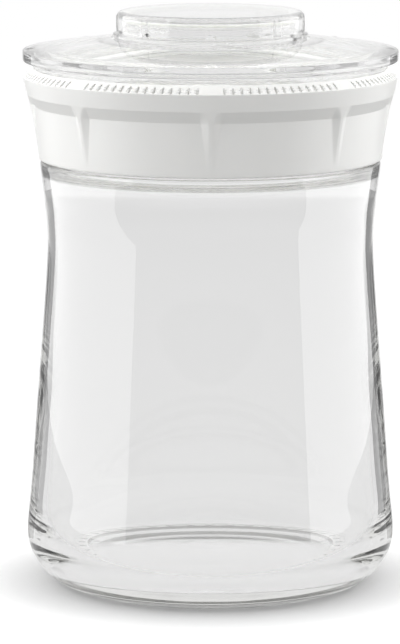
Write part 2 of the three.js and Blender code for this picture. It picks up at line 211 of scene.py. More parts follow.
@dataclass(frozen=True)
class PressedGlass(ClearFinish):
    """Soda-lime glass, pressed in a steel mould and fire polished.

    It is clear and neutral, and its surface keeps a slow waviness from the mould that bends what is seen
    through it.
    """

    name: str = "soda_lime_glass_pressed"
    colour: str = "#FCFCFC"
    body_tint: str = "#ECECEA"
    absorption: float = 9.0
    ior: float = 1.52
    roughness: float = 0.002
    wave_size: float = 30.0
    wave_depth: float = 0.006
    wave_detail: float = 1.0
    wave_distortion: float = 0.0
    haze_size: float = 7.0
    haze_detail: float = 3.0


@dataclass(frozen=True)
class ClearPlastic(ClearFinish):
    """Clear copolyester, injection moulded in a polished tool.

    It is as clear as glass and bends light a little more. Faint flow marks and fine handling scratches,
    drawn as an uneven polish, break its gloss.
    """

    name: str = "clear_copolyester_moulded"
    colour: str = "#FEFEFE"
    body_tint: str = "#F0F0F0"
    absorption: float = 8.0
    ior: float = 1.57
    roughness: float = 0.012
    wave_size: float = 14.0
    wave_depth: float = 0.0015
    wave_detail: float = 2.0
    wave_distortion: float = 0.6
    haze_size: float = 1.6
    haze_detail: float = 4.0


@dataclass(frozen=True)
class SatinFinish:
    """Dull or milky material with a fine grain and slightly uneven colour and gloss.

    Sizes and depths of its patterns, and the reach of the light inside it, are in millimetres.
    """

    name: str
    colour: str
    patch_colour: str
    ior: float
    roughness: float
    roughness_spread: float
    patch_size: float
    patch_detail: float
    scatter: float
    scatter_reach: float
    scatter_radius: tuple[float, float, float]
    grain_size: float
    grain_depth: float = 0.004
    grain_detail: float = 2.0

    def material(self) -> bpy.types.Material:
        """Builds the material.

        Returns:
            The new material.
        """
        material = bpy.data.materials.new(self.name)
        tree = bare_tree(material)
        place = add_node(tree, "ShaderNodeTexCoord").outputs["Object"]
        patches = add_node(tree, "ShaderNodeTexNoise", {
            "Vector": place, "Scale": per_metre(self.patch_size), "Detail": self.patch_detail,
        })
        colour = add_node(tree, "ShaderNodeMix", {
            0: patches.outputs["Fac"], 6: linear(self.colour), 7: linear(self.patch_colour),
        }, data_type="RGBA")
        roughness = add_node(tree, "ShaderNodeMapRange", {
            "Value": patches.outputs["Fac"],
            "To Min": self.roughness - self.roughness_spread,
            "To Max": self.roughness + self.roughness_spread,
        })
        grain = add_node(tree, "ShaderNodeTexNoise", {
            "Vector": place, "Scale": per_metre(self.grain_size), "Detail": self.grain_detail,
        })
        bump = add_node(tree, "ShaderNodeBump", {
            "Height": grain.outputs["Fac"], "Strength": 1.0, "Distance": self.grain_depth * MM,
        })
        shader = add_node(tree, "ShaderNodeBsdfPrincipled", {
            "Base Color": colour.outputs[2], "IOR": self.ior, "Roughness": roughness.outputs["Result"],
            "Subsurface Weight": self.scatter, "Subsurface Scale": self.scatter_reach * MM,
            "Subsurface Radius": self.scatter_radius, "Normal": bump.outputs["Normal"],
        })
        add_node(tree, "ShaderNodeOutputMaterial", {"Surface": shader.outputs["BSDF"]})
        return material


@dataclass(frozen=True)
class WhitePolypropylene(SatinFinish):
    """White polypropylene, injection moulded in a finely spark-eroded tool.

    It is a satin white that lets a little light in, with slightly uneven gloss and a fine even grain. The
    grain is drawn coarser than the real one, so that it shows.
    """

    name: str = "white_polypropylene_moulded"
    colour: str = "#EEEEEC"
    patch_colour: str = "#F4F4F2"
    ior: float = 1.49
    roughness: float = 0.42
    roughness_spread: float = 0.06
    patch_size: float = 18.0
    patch_detail: float = 3.0
    scatter: float = 0.12
    scatter_reach: float = 0.9
    scatter_radius: tuple[float, float, float] = (1.0, 0.95, 0.9)
    grain_size: float = 0.35


@dataclass(frozen=True)
class Silicone(SatinFinish):
    """Translucent silicone rubber, compression moulded.

    It is a milky, matt off-white with a soft glow and a dusty unevenness. Its grain is drawn coarser than
    the real one, so that it shows.
    """

    name: str = "silicone_rubber_moulded"
    colour: str = "#E8E9E5"
    patch_colour: str = "#DEDFDB"
    ior: float = 1.41
    roughness: float = 0.55
    roughness_spread: float = 0.1
    patch_size: float = 3.0
    patch_detail: float = 4.0
    scatter: float = 0.35
    scatter_reach: float = 1.5
    scatter_radius: tuple[float, float, float] = (1.0, 1.0, 0.9)
    grain_size: float = 0.4


Finish = ClearFinish | SatinFinish


def smooth_through(points: list[Point], step: float) -> list[Point]:
    """Samples one smooth curve, a cubic spline along the chords, through points.

    Args:
        points: The (radius, height) points that the curve passes.
        step: Longest distance between samples.

    Returns:
        The samples, from the first point to the last.
    """
    knots = np.asarray(points, dtype=float)
    place = np.concatenate([[0.0], np.cumsum(np.linalg.norm(np.diff(knots, axis=0), axis=1))])
    gap = np.diff(place)
    last = len(knots) - 1
    matrix = np.eye(last + 1)
    bends = np.zeros_like(knots)
    for i in range(1, last):
        matrix[i, i - 1:i + 2] = gap[i - 1], 2 * (gap[i - 1] + gap[i]), gap[i]
        bends[i] = 6 * ((knots[i + 1] - knots[i]) / gap[i] - (knots[i] - knots[i - 1]) / gap[i - 1])
    curve = np.linalg.solve(matrix, bends)
    sample = np.linspace(0, place[-1], math.ceil(place[-1] / step) + 1)
    at = np.clip(np.searchsorted(place, sample, side="right") - 1, 0, last - 1)
    after = (sample - place[at])[:, None]
    before = (place[at + 1] - sample)[:, None]
    span = gap[at][:, None]
    bent = (curve[at] * before ** 3 + curve[at + 1] * after ** 3) / (6 * span)
    low = (knots[at] / span - curve[at] * span / 6) * before
    high = (knots[at + 1] / span - curve[at + 1] * span / 6) * after
    return [(float(r), float(z)) for r, z in bent + low + high]


def eased(share: np.ndarray) -> np.ndarray:
    """Turns a ramp into a smooth step from 0 to 1."""
    ramp = np.clip(share, 0, 1)
    return ramp * ramp * (3 - 2 * ramp)


def from_nearest(angle: np.ndarray, count: int) -> np.ndarray:
    """Angle from the nearest of a number of even directions, the first at the front.

    Args:
        angle: Angles from the front.
        count: Number of directions.

    Returns:
        The angles from the nearest direction.
    """
    pitch = 2 * math.pi / count
    return np.mod(angle + pitch / 2, pitch) - pitch / 2


@dataclass
class Outline:
    """Outline of (radius, height) points in millimetres, with rounded corners, to be turned about Z."""

    step: float
    knots: list[tuple[float, float, float]] = field(default_factory=list)

    def to(self, radius: float, height: float, rounding: float = 0.0) -> "Outline":
        """Goes straight to a corner.

        Args:
            radius: Radius of the corner.
            height: Height of the corner.
            rounding: Radius of its rounding.

        Returns:
            The outline itself.
        """
        self.knots.append((radius, height, rounding))
        return self

    def along(self, points: list[Point]) -> "Outline":
        """Goes along one smooth curve through points.

        Args:
            points: The (radius, height) points that the curve passes.

        Returns:
            The outline itself.
        """
        self.knots += [(radius, height, 0.0) for radius, height in smooth_through(points, self.step)]
        return self

    def rounded(self) -> list[np.ndarray]:
        """Corner points with each rounding drawn.

        Returns:
            The points in order.
        """
        places = [np.array(knot[:2]) for knot in self.knots]
        drawn = []
        for i, (_, _, rounding) in enumerate(self.knots):
            corner = places[i]
            if not rounding:
                drawn.append(corner)
                continue
            back = places[i - 1] - corner
            ahead = places[(i + 1) % len(places)] - corner
            reach_back = np.linalg.norm(back)
            reach_ahead = np.linalg.norm(ahead)
            back, ahead = back / reach_back, ahead / reach_ahead
            half = math.acos(max(-1.0, min(1.0, float(back @ ahead)))) / 2
            length = min(rounding / math.tan(half), CORNER_SHARE * reach_back, CORNER_SHARE * reach_ahead)
            for t in np.linspace(0, 1, CORNER_STEPS + 1):
                drawn.append(corner + back * length * (1 - t) ** 2 + ahead * length * t ** 2)
        return drawn

    def points(self) -> np.ndarray:
        """Points of the outline, none further apart than the step.

        Returns:
            An array of (radius, height) rows. An outline that starts on the axis also ends there.
        """
        drawn = self.rounded()
        ends = drawn if self.knots[0][0] == 0 else drawn + drawn[:1]
        rows = []
        for here, there in zip(ends[:-1], ends[1:]):
            parts = max(1, math.ceil(float(np.linalg.norm(there - here)) / self.step))
            rows += [here + (there - here) * i / parts for i in range(parts)]
        return np.array(rows if self.knots[0][0] else rows + [ends[-1]])


@dataclass(frozen=True)
class Thread:
    """Screw ridges that rise anticlockwise, seen from above.

    Widths are along the axis, and angles are in degrees.
    """

    starts: int
    lead: float
    depth: float
    base: float
    crest: float
    height: float
    sweep: float
    start: float = 0.0
    run_out: float = 5.0

    def rise(self, height: np.ndarray, angle: np.ndarray) -> np.ndarray:
        """How far the ridges stand off their wall.

        Args:
            height: Heights of the points.
            angle: Angles of the points from the front.

        Returns:
            The distance from the wall at each point.
        """
        tall = np.zeros(height.shape)
        for ridge in range(self.starts):
            turn = np.mod(np.degrees(angle) - self.start - ridge * 360 / self.starts, 360.0)
            middle = self.height + self.lead * turn / 360
            flank = (self.base / 2 - np.abs(height - middle)) / (self.base - self.crest) * 2
            end = np.minimum(turn, self.sweep - turn) / self.run_out
            tall = np.maximum(tall, eased(flank) * eased(end))
        return tall * self.depth

    def mate(self, lag: float, sweep: float, side: int, depth: float) -> "Thread":
        """The ridges that run half a pitch away on the other piece.

        Args:
            lag: Angle by which they start later.
            sweep: Angle that each covers.
            side: 1 above these ridges, -1 below them.
            depth: How far they stand off their own wall.

        Returns:
            The mating ridges.
        """
        height = self.height + self.lead * lag / 360 + side * self.lead / self.starts / 2
        return replace(self, height=height, start=self.start + lag, sweep=sweep, depth=depth)


@dataclass
class TurnedPiece:
    """A piece turned about Z, with relief on its surface, in the place of one CAD node.

    Sizes are in millimetres. Points that are nearer to a wall than on_wall belong to it.
    """

    name: str
    node: str
    body: str
    slot: Slot
    finish: Finish
    columns: int = 256
    on_wall: float = 0.05

    def corners(self) -> tuple[Vector, Vector]:
        """Lowest and highest corner of the CAD node in millimetres."""
        low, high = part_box(self.node)
        return Vector(low) / MM, Vector(high) / MM

    def outline(self) -> Outline:
        """Outline that is turned."""
        raise NotImplementedError

    def angles(self) -> np.ndarray:
        """Angles of the columns of vertices, counted from the front."""
        return np.arange(self.columns) * 2 * math.pi / self.columns

    def relief(self, radius: np.ndarray, height: np.ndarray, angle: np.ndarray) -> Offsets:
        """Moves of the turned surface.

        Args:
            radius: Radii of the points.
            height: Heights of the points.
            angle: Angles of the points from the front.

        Returns:
            How far each point moves outwards and upwards.
        """
        return np.zeros_like(radius), np.zeros_like(height)

    def openings(self, rows: np.ndarray, ids: np.ndarray) -> tuple[np.ndarray, list[list[int]]]:
        """Faces that are left out, and the walls that close their edges.

        Args:
            rows: Points of the outline.
            ids: Vertex numbers by column and row.

        Returns:
            True for each face that is left out, by column and row, and the walls as lists of vertices.
        """
        return np.zeros(ids.shape, dtype=bool), []

    def build(self) -> bpy.types.Object:
        """Builds the mesh.

        Returns:
            The new object, in the frame's place.
        """
        rows = self.outline().points()
        angles = self.angles()
        shape = len(angles), len(rows)
        radius = np.broadcast_to(rows[:, 0], shape).copy()
        height = np.broadcast_to(rows[:, 1], shape).copy()
        angle = np.broadcast_to(angles[:, None], shape)
        outwards, upwards = self.relief(radius, height, angle)
        radius += outwards
        height += upwards
        places = np.stack([radius * np.sin(angle), -radius * np.cos(angle), height], axis=-1) * MM
        ids = np.arange(radius.size).reshape(shape)
        closed = rows[0, 0] > 0
        if not closed:
            ids[:, 0] = ids[0, 0]
            ids[:, -1] = ids[0, -1]
        used, ids = np.unique(ids, return_inverse=True)
        ids = ids.reshape(shape)
        left_out, walls = self.openings(rows, ids)
        beside = np.roll(ids, -1, axis=0)
        quads = np.stack([ids, beside, np.roll(beside, -1, axis=1), np.roll(ids, -1, axis=1)], axis=-1)
        kept = quads if closed else quads[:, :-1]
        wanted = ~left_out if closed else ~left_out[:, :-1]
        faces = [list(dict.fromkeys(quad)) for quad in kept[wanted].tolist()] + walls
        return self.solid(places.reshape(-1, 3)[used].tolist(), faces)

    def solid(self, vertices: list[list[float]], faces: list[list[int]]) -> bpy.types.Object:
        """Makes an object from vertices and faces, with smooth faces that point out.

        Args:
            vertices: Places in metres.
            faces: Vertex numbers of each face.

        Returns:
            The new object.
        """
        mesh = bpy.data.meshes.new(self.name)
        mesh.from_pydata(vertices, [], faces)
        work = bmesh.new()
        work.from_mesh(mesh)
        bmesh.ops.recalc_face_normals(work, faces=work.faces)
        work.to_mesh(mesh)
        work.free()
        mesh.shade_smooth()
        mesh.set_sharp_from_angle(angle=SHARP_ANGLE)
        piece = bpy.data.objects.new(self.name, mesh)
        bpy.context.scene.collection.objects.link(piece)
        return piece

    def dress(self, piece: bpy.types.Object) -> None:
        """Gives a piece its finish and its place in the assembly.

        Args:
            piece: The built object.
        """
        material = bpy.data.materials.get(self.finish.name) or self.finish.material()
        piece.data.materials.append(material)
        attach(piece, self.body)
        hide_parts(self.node)


JAR_THREAD = Thread(starts=2, lead=10.0, depth=1.3, base=1.8, crest=0.9, height=128.6, sweep=250)
LID_THREAD = Thread(starts=4, lead=8.0, depth=1.8, base=0.9, crest=0.6, height=147.7, sweep=78)
CAP_THREAD = Thread(starts=2, lead=6.0, depth=0.8, base=1.0, crest=0.6, height=163.6, sweep=150)
RING_RIDGES = JAR_THREAD.mate(lag=100, sweep=120, side=-1, depth=1.3)
RING_LUGS = LID_THREAD.mate(lag=50, sweep=24, side=1, depth=1.4)
CAP_RIDGES = CAP_THREAD.mate(lag=60, sweep=80, side=-1, depth=0.8)


@dataclass
class GlassJar(TurnedPiece):
    """Pressed jar with a push-up base, nubs under its foot, a waisted wall and a screw neck."""

    columns: int = 480
    step: float = 0.9
    push_up: float = 3.7
    foot_height: float = 0.5
    foot_inner: float = 38.5
    foot_outer: float = 42.9
    nub_count: int = 40
    nub_circle: float = 40.7
    nub_radius: float = 1.2
    nub_edge: float = 1.2
    nub_strip: float = 1.5
    nub_margin: float = 0.2
    nub_row: float = 0.3
    nub_rows: int = 11
    foot_inner_round: float = 0.5
    foot_outer_round: float = 0.3
    shoulder_radius: float = 50.1
    shoulder_top: float = 126.2
    shoulder_round: float = 1.8
    under_shoulder: float = 123.4
    neck_radius: float = 46.0
    neck_bore: float = 42.6
    neck_round: float = 0.9
    bore_round: float = 1.3
    bore_step: float = 0.1
    lip_round: float = 0.9
    floor_height: float = 7.9
    floor_radius: float = 42.5
    floor_round: float = 0.6
    underside: list[Point] = field(default_factory=lambda: [
        (8.0, 3.65), (18.0, 3.3), (27.0, 2.55), (33.5, 1.6), (37.2, 0.85),
    ])
    wall: list[Point] = field(default_factory=lambda: [
        (44.1, 1.1), (46.4, 1.75), (48.7, 3.2), (51.2, 6.1), (53.3, 9.5), (54.45, 13.6), (54.45, 18.5),
        (53.75, 25.5), (52.25, 44.0), (50.65, 64.5), (49.25, 82.0), (48.35, 94.5), (48.08, 101.5),
        (48.3, 107.5), (49.15, 116.5), (50.1, 124.4),
    ])
    inside: list[Point] = field(default_factory=lambda: [
        (47.05, 120.6), (46.8, 116.5), (46.2, 110.5), (45.9, 105.0), (45.85, 99.5), (46.0, 93.5),
        (46.4, 84.0), (47.1, 69.0), (47.45, 54.0), (47.85, 42.0), (48.4, 30.0), (48.85, 23.5), (48.8, 18.8),
        (47.9, 14.8), (46.1, 11.7), (44.1, 9.5),
    ])

    def outline(self) -> Outline:
        """Outline from the middle of the underside, round the wall, to the middle of the floor.

        Returns:
            The outline.
        """
        lip = self.corners()[1].z
        strip = self.nub_circle - self.nub_strip
        reach = self.nub_strip + self.nub_margin
        return (
            Outline(self.step)
            .to(0, self.push_up)
            .along(self.underside)
            .to(self.foot_inner, self.foot_height, self.foot_inner_round)
            .to(self.nub_circle - reach, self.foot_height)
            .along([(strip + self.nub_row * i, self.foot_height) for i in range(self.nub_rows)])
            .to(self.nub_circle + reach, self.foot_height)
            .to(self.foot_outer, self.foot_height, self.foot_outer_round)
            .along(self.wall)
            .to(self.shoulder_radius, self.shoulder_top, self.shoulder_round)
            .to(self.neck_radius, self.shoulder_top, self.neck_round)
            .to(self.neck_radius, lip, self.lip_round)
            .to(self.neck_bore, lip, self.lip_round)
            .to(self.neck_bore, self.under_shoulder, self.bore_round)
            .to(self.inside[0][0] + self.bore_step, self.under_shoulder, self.bore_round)
            .along(self.inside)
            .to(self.floor_radius, self.floor_height, self.floor_round)
            .to(0, self.floor_height)
        )

    def relief(self, radius: np.ndarray, height: np.ndarray, angle: np.ndarray) -> Offsets:
        """Screw ridges on the neck and nubs under the foot.

        Args:
            radius: Radii of the points.
            height: Heights of the points.
            angle: Angles of the points from the front.

        Returns:
            How far each point moves outwards and upwards.
        """
        neck = (np.abs(radius - self.neck_radius) < self.on_wall) & (height > self.shoulder_top)
        outwards = np.where(neck, JAR_THREAD.rise(height, angle), 0.0)
        sideways = radius * from_nearest(angle, self.nub_count)
        apart = np.hypot(sideways, radius - self.nub_circle)
        foot = np.abs(height - self.foot_height) < self.on_wall
        nub = self.foot_height * eased((self.nub_radius - apart) / self.nub_edge)
        return outwards, np.where(foot, -nub, 0.0)


@dataclass
class StrainerRing(TurnedPiece):
    """Moulded ring that screws onto the neck, with ribs outside and a comb of slots in its bevel."""

    step: float = 0.75
    bore: float = 47.7
    web_bore: float = 43.0
    web_bottom: float = 141.9
    web_top: float = 143.5
    foot_radius: float = 50.5
    foot_round: float = 0.6
    bore_round: float = 0.3
    bend_round: float = 0.5
    rim_round: float = 0.12
    mouth_round: float = 0.2
    edge_round: float = 0.4
    chamfer: float = 0.4
    panel_top: Point = (51.75, 142.5)
    band_foot: Point = (53.95, 145.9)
    rim_height: float = 150.9
    mouth_radius: float = 52.0
    lid_bore: float = 51.6
    seal_bore: float = 49.8
    seal_bore_top: float = 146.5
    rib_bend: Point = (52.0, 139.1)
    rib_start: float = 127.3
    rib_crest_half: float = 0.5
    rib_flare: float = 1.7
    rib_flare_height: float = 5.0
    rib_base_foot: float = 1.0
    rib_base_top: float = 3.3
    slots: int = 15
    slot_width: float = 0.64
    slot_low: float = 150.97
    slot_high: float = 152.65
    slot_rows: int = 3
    slot_columns: int = 4
    tab_width: float = 7.0
    tab_columns: int = 27

    def bevel(self, height: float) -> float:
        """Radius of the bevel at a height.

        Args:
            height: Height of the point.

        Returns:
            The radius there.
        """
        top = self.corners()[1]
        share = (height - self.rim_height) / (top.z - self.rim_height)
        return top.x + (self.mouth_radius - top.x) * share

    def slot_heights(self) -> list[float]:
        """Heights of the rows of vertices up the side of a slot."""
        return [float(z) for z in np.linspace(self.slot_low, self.slot_high, self.slot_rows + 1)]

    def outline(self) -> Outline:
        """Closed outline from the bore's lower edge, up the outside and down the inside.

        Returns:
            The outline.
        """
        low, high = self.corners()
        drawn = (
            Outline(self.step)
            .to(self.bore, low.z, self.bore_round)
            .to(self.foot_radius, low.z, self.foot_round)
            .to(*self.panel_top, self.bend_round)
            .to(*self.band_foot, self.bend_round)
            .to(high.x, self.rim_height, self.rim_round)
        )
        for height in self.slot_heights():
            drawn.to(self.bevel(height), height)
        drawn.to(self.mouth_radius, high.z, self.mouth_round)
        drawn.to(self.lid_bore, high.z - self.chamfer)
        for height in reversed(self.slot_heights()):
            drawn.to(self.lid_bore, height)
        return (
            drawn.to(self.lid_bore, self.seal_bore_top + self.chamfer)
            .to(self.seal_bore, self.seal_bore_top, self.mouth_round)
            .to(self.seal_bore, self.web_top, self.edge_round)
            .to(self.web_bore, self.web_top, self.edge_round)
            .to(self.web_bore, self.web_bottom, self.edge_round)
            .to(self.bore, self.web_bottom, self.edge_round)
        )

    def slot_edges(self) -> list[tuple[float, float]]:
        """Angles of the two sides of each slot in one sector.

        Returns:
            The pairs of angles, from the front.
        """
        rim = self.corners()[1].x
        first = (self.tab_width + self.slot_width) / 2 / rim
        half = self.slot_width / 2 / rim
        return [(float(a) - half, float(a) + half) for a in np.linspace(first, SECTOR - first, self.slots)]

    def angles(self) -> np.ndarray:
        """Columns close together across each rib and at the sides of each slot.

        Returns:
            The angles, counted from the front.
        """
        edges = self.slot_edges()
        tab = edges[0][0]
        across = list(np.linspace(-tab, tab, self.tab_columns)[1:-1])
        field_columns = []
        for i, (left, right) in enumerate(edges):
            field_columns += [left, (left + right) / 2, right]
            if i + 1 < len(edges):
                field_columns.append((right + edges[i + 1][0]) / 2)
        sector = across + field_columns
        return np.array([angle + SECTOR * i for i in range(SECTORS) for angle in sector])

    def rib_line(self, height: np.ndarray) -> np.ndarray:
        """Radius of the ribs' crest.

        Args:
            height: Heights of the points.

        Returns:
            The radius at each height.
        """
        start, bend, end = (self.foot_radius, self.rib_start), self.rib_bend, self.band_foot
        t = np.linspace(0, 1, CURVE_STEPS)
        radius = start[0] * (1 - t) ** 2 + 2 * bend[0] * t * (1 - t) + end[0] * t ** 2
        place = start[1] * (1 - t) ** 2 + 2 * bend[1] * t * (1 - t) + end[1] * t ** 2
        return np.interp(height, place, radius)

    def relief(self, radius: np.ndarray, height: np.ndarray, angle: np.ndarray) -> Offsets:
        """Ribs outside, screw ridges in the lower bore and lugs in the upper one.

        Args:
            radius: Radii of the points.
            height: Heights of the points.
            angle: Angles of the points from the front.

        Returns:
            How far each point moves outwards and upwards.
        """
        ribbed = (height > self.rib_start) & (height < self.band_foot[1])
        outside = (radius >= self.foot_radius - self.on_wall) & ribbed
        up = np.clip((height - self.rib_start) / (self.band_foot[1] - self.rib_start), 0, 1)
        flare = np.clip((height - self.band_foot[1]) / self.rib_flare_height + 1, 0, 1)
        half = self.rib_crest_half + self.rib_flare * flare ** 2
        base = self.rib_base_foot + (self.rib_base_top - self.rib_base_foot) * up
        sideways = np.abs(radius * from_nearest(angle, SECTORS))
        proud = np.maximum(self.rib_line(height) - radius, 0.0)
        outwards = np.where(outside, proud * np.clip((base - sideways) / (base - half), 0, 1), 0.0)
        lower = (np.abs(radius - self.bore) < self.on_wall) & (height < self.web_bottom)
        outwards = np.where(lower, -RING_RIDGES.rise(height, angle), outwards)
        upper = (np.abs(radius - self.lid_bore) < self.on_wall) & (height > self.seal_bore_top)
        outwards = np.where(upper, -RING_LUGS.rise(height, angle), outwards)
        return outwards, np.zeros_like(height)

    def openings(self, rows: np.ndarray, ids: np.ndarray) -> tuple[np.ndarray, list[list[int]]]:
        """The comb: slots from the bevel through to the lid's bore.

        Args:
            rows: Points of the outline.
            ids: Vertex numbers by column and row.

        Returns:
            True for each face that is left out, by column and row, and the walls as lists of vertices.
        """
        outer, inner = [], []
        for height in self.slot_heights():
            level = np.flatnonzero(np.abs(rows[:, 1] - height) < SAME_HEIGHT)
            outer.append(int(level[np.argmax(rows[level, 0])]))
            inner.append(int(level[np.argmin(np.abs(rows[level, 0] - self.lid_bore))]))
        per_sector = len(ids) // SECTORS
        lead_in = per_sector - (self.slot_columns * self.slots - 1)
        left_out = np.zeros(ids.shape, dtype=bool)
        walls = []
        for sector in range(SECTORS):
            for slot in range(self.slots):
                left = sector * per_sector + lead_in + self.slot_columns * slot
                columns = [left, left + 1, left + 2]
                left_out[left:left + 2, outer[0]:outer[-1]] = True
                left_out[left:left + 2, inner[-1]:inner[0]] = True
                for a, b in zip(columns[:-1], columns[1:]):
                    for end in (0, -1):
                        walls.append([
                            ids[a, outer[end]], ids[b, outer[end]], ids[b, inner[end]], ids[a, inner[end]],
                        ])
                for column in (columns[0], columns[-1]):
                    for k in range(self.slot_rows):
                        walls.append([
                            ids[column, outer[k]], ids[column, outer[k + 1]],
                            ids[column, inner[k + 1]], ids[column, inner[k]],
                        ])
        return left_out, [[int(v) for v in wall] for wall in walls]


def sector_columns(reach: float, fine: int, coarse: int) -> np.ndarray:
    """Columns that lie close together round each of the eight directions.

    Args:
        reach: Half the angle with close columns.
        fine: Number of close columns.
        coarse: Number of columns between them and the next direction.

    Returns:
        The angles, counted from the front.
    """
    close = np.linspace(-reach, reach, fine)
    wide = np.linspace(reach, SECTOR - reach, coarse + 2)[1:-1]
    return np.array([a + SECTOR * i for i in range(SECTORS) for a in (*close, *wide)])


@dataclass
class ScrewLid(TurnedPiece):
    """Clear lid: a conical plate with grip ridges and a flange, a screw skirt and a threaded collar."""

    step: float = 0.6
    on_wall: float = 0.02
    skirt_radius: float = 49.4
    skirt_bore: float = 46.2
    skirt_top_bore: float = 48.6
    bore_round: float = 0.4
    skirt_round: float = 0.3
    skirt_lead_in: float = 0.2
    skirt_row: float = 0.18
    skirt_rows: int = 28
    groove_radius: float = 47.8
    groove_bottom: float = 144.6
    groove_top: float = 146.6
    groove_round: float = 0.2
    fine_round: float = 0.15
    cone_foot: float = 151.8
    cone: tuple[Point, Point] = ((51.0, 152.6), (53.03, 155.3))
    cone_round: float = 0.4
    flange_bottom: float = 155.6
    flange_top: float = 158.6
    flange_round: float = 0.5
    flange_step: float = 0.3
    rim_step: float = 0.2
    rim_round: float = 0.6
    seat_radius: float = 29.2
    seat_height: float = 161.9
    cone_top: float = 162.2
    seat_round: float = 0.12
    plate_thickness: float = 2.2
    plate_round: float = 0.8
    under_radius: float = 33.0
    under_height: float = 159.4
    under_round: float = 0.2
    collar_radius: float = 25.0
    collar_bore: float = 23.0
    collar_round: float = 0.5
    collar_foot_round: float = 0.1
    collar_lead_in: float = 0.4
    collar_row: float = 0.2
    collar_rows: int = 20
    ridge_half: float = 2.6
    ridge_crest: float = 159.05
    ridge_sink: float = 157.7
    ridge_end: float = 54.7
    ridge_end_round: float = 1.6
    ridge_reach: float = 13.0
    ridge_fade: float = 1.0
    ridge_fillet: float = 0.2
    ridge_margin: float = 0.9
    ridge_columns: int = 27
    plain_columns: int = 26

    def outline(self) -> Outline:
        """Closed outline from the skirt's lower edge, up the outside, over the plate and back inside.

        Returns:
            The outline.
        """
        low, high = self.corners()
        skirt_foot = self.groove_top + self.skirt_lead_in
        skirt = [(self.skirt_radius, skirt_foot + self.skirt_row * i) for i in range(self.skirt_rows)]
        collar_foot = self.seat_height + self.collar_lead_in
        collar = [(self.collar_radius, collar_foot + self.collar_row * i) for i in range(self.collar_rows)]
        return (
            Outline(self.step)
            .to(self.skirt_bore, low.z, self.bore_round)
            .to(self.skirt_radius, low.z, self.skirt_round)
            .to(self.skirt_radius, self.groove_bottom, self.fine_round)
            .to(self.groove_radius, self.groove_bottom, self.groove_round)
            .to(self.groove_radius, self.groove_top, self.groove_round)
            .to(self.skirt_radius, self.groove_top, self.fine_round)
            .along(skirt)
            .to(self.skirt_radius, self.cone_foot, self.skirt_round)
            .to(*self.cone[0], self.cone_round)
            .to(*self.cone[1], self.cone_round)
            .to(self.cone[1][0] + self.flange_step, self.flange_bottom, self.fine_round)
            .to(high.x, self.flange_bottom, self.flange_round)
            .to(high.x, self.flange_top, self.flange_round)
            .to(high.x - self.flange_round - self.rim_step, self.flange_top, self.rim_round)
            .to(self.seat_radius, self.cone_top, self.seat_round)
            .to(self.seat_radius, self.seat_height, self.seat_round)
            .to(self.collar_radius, self.seat_height, self.collar_foot_round)
            .along(collar)
            .to(self.collar_radius, high.z, self.collar_round)
            .to(self.collar_bore, high.z, self.collar_round)
            .to(self.collar_bore, self.under_height, self.collar_foot_round)
            .to(self.under_radius, self.under_height, self.under_round)
            .to(self.skirt_top_bore, self.flange_top - self.plate_thickness, self.plate_round)
        )

    def angles(self) -> np.ndarray:
        """Columns close together across each grip ridge."""
        reach = (self.ridge_half + self.ridge_margin) / self.ridge_end
        return sector_columns(reach, self.ridge_columns, self.plain_columns)

    def relief(self, radius: np.ndarray, height: np.ndarray, angle: np.ndarray) -> Offsets:
        """Screw ridges on the skirt and the collar, and grip ridges on the plate.

        Args:
            radius: Radii of the points.
            height: Heights of the points.
            angle: Angles of the points from the front.

        Returns:
            How far each point moves outwards and upwards.
        """
        screwed = (height > self.groove_top) & (height < self.cone_foot)
        skirt = (np.abs(radius - self.skirt_radius) < self.on_wall) & screwed
        outwards = np.where(skirt, LID_THREAD.rise(height, angle), 0.0)
        collar = (np.abs(radius - self.collar_radius) < self.on_wall) & (height > self.seat_height)
        outwards = np.where(collar, CAP_THREAD.rise(height, angle), outwards)
        start = self.ridge_end - self.ridge_reach
        top = (radius > start - self.ridge_fade) & (height >= self.flange_top - self.flange_round)
        sideways = radius * from_nearest(angle, SECTORS) / self.ridge_half
        end = np.clip((radius - self.ridge_end + self.ridge_end_round) / self.ridge_end_round, 0, 1)
        round_over = np.sqrt(np.clip(1 - sideways ** 2 - end ** 2, 0, 1))
        ridge = self.ridge_sink + (self.ridge_crest - self.ridge_sink) * round_over
        inner = eased((radius - start) / self.ridge_fade)
        ridge = self.ridge_sink + (ridge - self.ridge_sink) * inner
        over = ridge - height
        blend = np.clip(0.5 + over / (2 * self.ridge_fillet), 0, 1)
        lifted = over * blend + self.ridge_fillet * blend * (1 - blend)
        return outwards, np.where(top & (round_over > 0), np.maximum(lifted, 0.0), 0.0)


